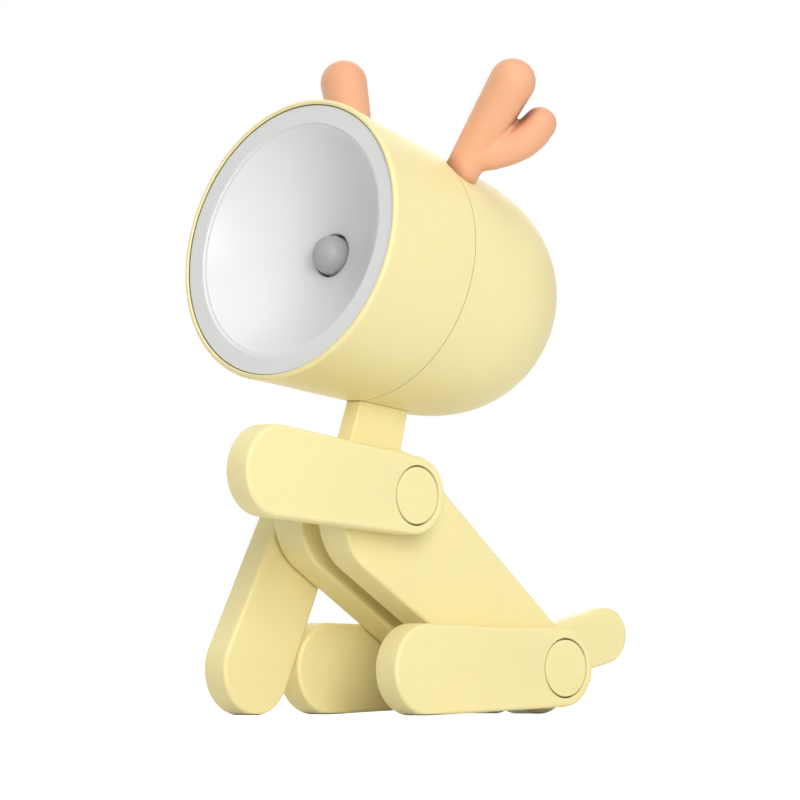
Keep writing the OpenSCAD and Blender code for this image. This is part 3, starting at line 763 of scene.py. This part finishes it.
def build_rear_shell():
    bm = bmesh.new()
    lap_out = outer_r(SEAM) - SHELL_WALL / 2 - PRESS_PLAY
    lap_in = outer_r(SEAM) - SHELL_WALL
    lap_end = SEAM - LAP_LEN
    groove_r = outer_r(SEAM) - SEAM_DEPTH
    hole_out = station_at(outer_r, BUTTON_HOLE_R + BUTTON_HOLE_ROUND, CONE_LEN, DOME_END)
    hole_in = station_at(inner_r, BUTTON_HOLE_R, CONE_LEN, DOME_END - SHELL_WALL)
    profile = [(lap_out, SEAM), (groove_r, SEAM), (groove_r, SEAM + SEAM_GAP)]
    profile += [(outer_r(s), s) for s in (SEAM + SEAM_GAP, SEAM + SEAM_BAND, *REAR_STATIONS)]
    profile += dome_points(outer_r, DOME_LEN, hole_out)
    edge_in, edge_down = BUTTON_HOLE_EDGE
    profile += [
        (outer_r(hole_out) - edge_in, hole_out - edge_down),
        (BUTTON_HOLE_R, hole_out - BUTTON_HOLE_DROP),
        (BUTTON_HOLE_R, hole_in),
    ]
    profile += dome_points(inner_r, DOME_LEN - SHELL_WALL, hole_in)[-2::-1]
    profile += [
        (lap_in, SEAM),
        (lap_in, lap_end),
        (lap_out - LAP_BEVEL, lap_end),
        (lap_out, lap_end + LAP_BEVEL),
    ]
    revolve(bm, profile)
    finish_piece("rear_shell", bm, "head", YELLOW, HEAD_FRAME)


def build_reflector():
    bm = bmesh.new()
    ring_out = RING_R + RING_GAP - RING_SHOWN_GAP
    collar = LAMP_HOLE_R + BOWL_WALL
    hole_s = bowl_station(LAMP_HOLE_R)
    profile = [(LAMP_HOLE_R, BOARD_S)]
    profile += [(LAMP_HOLE_R + out, hole_s + back) for out, back in LAMP_HOLE_ROUND]
    first = LAMP_HOLE_R + LAMP_HOLE_EDGE
    last = BOWL_R * math.sqrt(1 - BOWL_END / BOWL_DEPTH)
    for i in range(1, BOWL_STEPS + 1):
        r = first + (last - first) * i / BOWL_STEPS
        profile.append((r, bowl_station(r)))
    lip_r = BOWL_R + BOWL_LIP
    profile += arc((lip_r, RING_RECESS + BOWL_LIP), BOWL_LIP, 180, 270, 8)
    profile += [(lip_r + RING_FLAT, RING_RECESS), (ring_out - RING_EDGE - RING_FLAT, RING_RECESS)]
    profile += arc((ring_out - RING_EDGE, RING_RECESS + RING_EDGE), RING_EDGE, -90, 0, 5)
    back_r = BOWL_R * math.sqrt(1 - (RING_T - BOWL_SKIN) / BOWL_DEPTH) - BOWL_BACK_INSET
    profile += [(ring_out, RING_SEAT), (back_r + BOWL_BACK_FLARE, RING_SEAT)]
    for i in range(BOWL_STEPS, -1, -1):
        r = collar + (back_r - collar) * i / BOWL_STEPS
        profile.append((r, bowl_station(r) + BOWL_SKIN))
    profile += [(collar, BOARD_S)]
    revolve(bm, profile)
    finish_piece("reflector_cup", bm, "head", BOWL_WHITE, HEAD_FRAME)


def build_lamp():
    bm = bmesh.new()
    centre = BOARD_S - LAMP_LEN + LAMP_R
    foot_r = LAMP_HOLE_R - LAMP_FOOT_PLAY
    profile = [(0, centre - LAMP_R)] + arc((0, centre), LAMP_R, -90, 0, 24)[1:]
    profile += [(LAMP_R + out, BOARD_S - height) for out, height in LAMP_FILLET]
    profile += [(foot_r, BOARD_S - LAMP_FLANGE_T), (foot_r, BOARD_S), (0, BOARD_S)]
    revolve(bm, profile, closed=False, turn=LAMP_TURN)
    finish_piece("led_lamp", bm, "head", LAMP_FROST, HEAD_FRAME)


def build_button():
    bm = bmesh.new()
    top = DOME_END + BUTTON_PROUD
    wall = station_at(inner_r, BUTTON_FLANGE_R, CONE_LEN, DOME_END - SHELL_WALL)
    shoulder = wall - BUTTON_FLANGE_PLAY
    foot = shoulder - BUTTON_FLANGE_T
    crown_r = BUTTON_R - BUTTON_ROUND
    profile = [(0, foot), (BUTTON_FLANGE_R, foot), (BUTTON_FLANGE_R, shoulder), (BUTTON_R, shoulder)]
    profile += arc((crown_r, top - BUTTON_ROUND), BUTTON_ROUND, 0, 90, 7)
    profile += [(crown_r - BUTTON_FLAT, top)]
    profile += [(r, top - depth) for r, depth in BUTTON_DISH]
    revolve(bm, profile, closed=False, turn=BUTTON_TURN)
    finish_piece("switch_button", bm, "button", PEACH, HEAD_FRAME)


# Antlers


def capsule(bm, a, ra, b, rb):
    """Adds a closed round-ended cone between two places."""
    length = (b - a).length
    lean = math.degrees(math.asin((ra - rb) / length))
    profile = [(0, -ra)] + arc((0, 0), ra, -90, lean, TINE_END_STEPS)[1:]
    profile += arc((0, length), rb, lean, 90, TINE_END_STEPS)[:-1] + [(0, length + rb)]
    part = bmesh.new()
    revolve(part, profile, closed=False, turn=TINE_TURN)
    turn = (b - a).normalized().to_track_quat("Z", "Y").to_matrix().to_4x4()
    part.transform(Matrix.Translation(a) @ turn)
    mesh = bpy.data.meshes.new("antler_part")
    part.to_mesh(mesh)
    part.free()
    bm.from_mesh(mesh)
    bpy.data.meshes.remove(mesh)


def plain_object(name, bm):
    bmesh.ops.recalc_face_normals(bm, faces=bm.faces[:])
    return link_object(name, bm)


def head_cutter():
    """Solid form of the head, which cuts the antlers' feet to its curve."""
    bm = bmesh.new()
    profile = [(0, CUTTER_START)]
    profile += [(outer_r(s), s) for s in (CUTTER_START, *CUTTER_STATIONS)]
    for i in range(CUTTER_DOME_STEPS):
        s = CONE_LEN + DOME_LEN * math.sin(math.radians(90 * i / CUTTER_DOME_STEPS))
        profile.append((outer_r(s), s))
    profile.append((0, DOME_END))
    revolve(bm, profile, closed=False, turn=CUTTER_TURN)
    bm.transform(HEAD_FRAME)
    return plain_object("antler_cutter", bm)


def bake_modifiers(obj):
    """The object's evaluated mesh as new mesh work; the object is removed."""
    graph = bpy.context.evaluated_depsgraph_get()
    graph.update()
    result = bmesh.new()
    result.from_mesh(obj.evaluated_get(graph).to_mesh())
    mesh = obj.data
    bpy.data.objects.remove(obj)
    bpy.data.meshes.remove(mesh)
    return result


def build_antler(name, side, cutter):
    """Forked antler: round tines blended into one skin, its foot cut to the head."""
    angle = math.radians(ANTLER_ANGLE)
    seat = outer_r(ANTLER_S)
    foot = HEAD_FRAME @ Vector((side * seat * math.sin(angle), -seat * math.cos(angle), ANTLER_S))
    flip = Vector((side, 1, 1))
    tine = TINE_RUN * flip
    side_run = SIDE_RUN * flip
    elbow = Vector((side_run.x * ELBOW_SHARE, side_run.y * ELBOW_SHARE, ELBOW_UP))
    fork = tine * BRANCH_SHARE
    bend = elbow * 2 - (fork + side_run) / 2
    run = [fork * (1 - t) ** 2 + bend * 2 * t * (1 - t) + side_run * t * t for t in SIDE_SHARES]
    girths = [ANTLER_FOOT_R, ELBOW_R, ELBOW_R, ELBOW_R, (ELBOW_R + SIDE_TIP_R) / 2, SIDE_TIP_R]
    bm = bmesh.new()
    capsule(bm, foot, ANTLER_FOOT_R, foot + tine, TINE_TIP_R)
    for a, b, ra, rb in zip(run, run[1:], girths, girths[1:]):
        capsule(bm, foot + a, ra, foot + b, rb)
    blank = plain_object(name + "_blank", bm)
    remesh = blank.modifiers.new("blend", "REMESH")
    remesh.mode = "VOXEL"
    remesh.voxel_size = BLEND_VOXEL
    smooth = blank.modifiers.new("soften", "SMOOTH")
    smooth.factor = BLEND_FACTOR
    smooth.iterations = BLEND_PASSES
    cut = blank.modifiers.new("seat", "BOOLEAN")
    cut.operation = "DIFFERENCE"
    cut.solver = "EXACT"
    cut.object = cutter
    result = bake_modifiers(blank)
    bmesh.ops.dissolve_degenerate(result, dist=SEAT_SPECK, edges=result.edges[:])
    seat_faces = [face for face in result.faces if len(face.verts) > 4]
    bmesh.ops.poke(result, faces=seat_faces)
    finish_piece(name, result, "head", PEACH)


# All pieces

LIMBS = (
    ("front_leg_left", "shoulder_cap_left", "front_left", SHOULDER, -ARM_LIFT, 1),
    ("front_leg_right", "shoulder_cap_right", "front_right", SHOULDER, PLANTED_DROP, -1),
    ("hind_leg_left", "hip_cap_left", "hind_left", HIP, 0, 1),
    ("hind_leg_right", "hip_cap_right", "hind_right", HIP, 0, -1),
)
for leg, _, *stance in LIMBS:
    build_leg(leg, *stance)
for _, cap, *stance in LIMBS:
    build_cap(cap, *stance)
build_plate("torso_plate_left", 1)
build_plate("torso_plate_right", -1)
build_neck()
build_tail()
build_front_shell()
build_rear_shell()
build_reflector()
build_lamp()
build_button()
antler_cutter = head_cutter()
build_antler("antler_left", 1, antler_cutter)
build_antler("antler_right", -1, antler_cutter)
bpy.data.objects.remove(antler_cutter)

INNER_FINISH = {
    "led_board": BOARD,
    "board_screws": STEEL,
    "battery_spring": STEEL,
    "button_cells": CELL_CAN,
    "battery_holder": BLACK,
    "rear_contact": STEEL,
    "holder_screws": STEEL,
    "switch_body": BLACK,
    "lead_wires": WIRE,
    "neck_screws": STEEL,
    "shoulder_axle": STEEL,
    "hip_axle": STEEL,
    "pivot_screws": STEEL,
    "pivot_washers": STEEL,
}
for node_name, material in INNER_FINISH.items():
    mesh = frame["nodes"][node_name].data
    mesh.materials.clear()
    mesh.materials.append(material)


# Floor, light and camera


def seen_ray(tree):
    """One for rays that the camera, a mirror or glass sends, and nought for light."""
    path = tree.nodes.new("ShaderNodeLightPath").outputs
    mirrored = math_node(tree, "MAXIMUM", path["Is Camera Ray"], path["Is Glossy Ray"])
    return math_node(tree, "MAXIMUM", mirrored, path["Is Transmission Ray"])


def build_floor():
    bm = bmesh.new()
    corners = ((-1, -1), (1, -1), (1, 1), (-1, 1))
    bm.faces.new([bm.verts.new((x * FLOOR_HALF, y * FLOOR_HALF, 0)) for x, y in corners])
    floor = link_object("floor", bm)
    mat = bpy.data.materials.new("white_paper")
    mat.use_nodes = True
    tree = mat.node_tree
    tree.nodes.clear()
    out = tree.nodes.new("ShaderNodeOutputMaterial")
    paper = tree.nodes.new("ShaderNodeBsdfDiffuse")
    paper.inputs["Color"].default_value = FLOOR_PAPER
    glow = tree.nodes.new("ShaderNodeEmission")
    glow.inputs["Color"].default_value = WHITE
    tree.links.new(math_node(tree, "MULTIPLY", seen_ray(tree), FLOOR_GLOW), glow.inputs["Strength"])
    both = tree.nodes.new("ShaderNodeAddShader")
    tree.links.new(paper.outputs[0], both.inputs[0])
    tree.links.new(glow.outputs[0], both.inputs[1])
    tree.links.new(both.outputs[0], out.inputs["Surface"])
    floor.data.materials.append(mat)


def build_world():
    world = bpy.data.worlds.new("studio")
    bpy.context.scene.world = world
    world.use_nodes = True
    tree = world.node_tree
    room = tree.nodes["Background"]
    room.inputs["Color"].default_value = WHITE
    level = tree.nodes.new("ShaderNodeMapRange")
    level.inputs["To Min"].default_value = ROOM_FILL
    level.inputs["To Max"].default_value = 1.0
    tree.links.new(seen_ray(tree), level.inputs["Value"])
    tree.links.new(level.outputs["Result"], room.inputs["Strength"])


def stand_off(obj, target, azimuth, elevation, distance):
    """Puts a light or camera in a compass direction from a place, looking back at it."""
    a, e = math.radians(azimuth), math.radians(elevation)
    away = Vector((math.sin(a) * math.cos(e), -math.cos(a) * math.cos(e), math.sin(e)))
    obj.location = target + away * distance
    obj.rotation_euler = (-away).to_track_quat("-Z", "Y").to_euler()
    bpy.context.scene.collection.objects.link(obj)


def softbox(name, azimuth, elevation, distance, size, watts):
    """Square soft light that looks at the lamp's middle."""
    data = bpy.data.lights.new(name, "AREA")
    data.shape = "SQUARE"
    data.size = size
    data.energy = watts
    stand_off(bpy.data.objects.new(name, data), LIT_MIDDLE, azimuth, elevation, distance)


def build_camera():
    data = bpy.data.cameras.new("camera")
    data.sensor_width = SENSOR_WIDTH
    data.lens = LENS
    data.clip_start, data.clip_end = CAMERA_CLIP
    view_width = PHOTO_WIDTH_PIXELS / PIXELS_PER_MM * MM
    distance = view_width * data.lens / data.sensor_width
    camera = bpy.data.objects.new("camera", data)
    stand_off(camera, CAMERA_AIM, CAMERA_AZIMUTH, 0, distance)
    bpy.context.scene.camera = camera


build_floor()
build_world()
softbox("key", azimuth=60, elevation=20, distance=1.0, size=0.6, watts=6.95)
softbox("top", azimuth=40, elevation=80, distance=0.95, size=0.9, watts=3.4)
softbox("back", azimuth=225, elevation=25, distance=1.0, size=0.7, watts=2.0)
softbox("far_side", azimuth=272, elevation=15, distance=1.0, size=0.7, watts=2.4)
build_camera()
bpy.context.scene.view_settings.view_transform = "Standard"
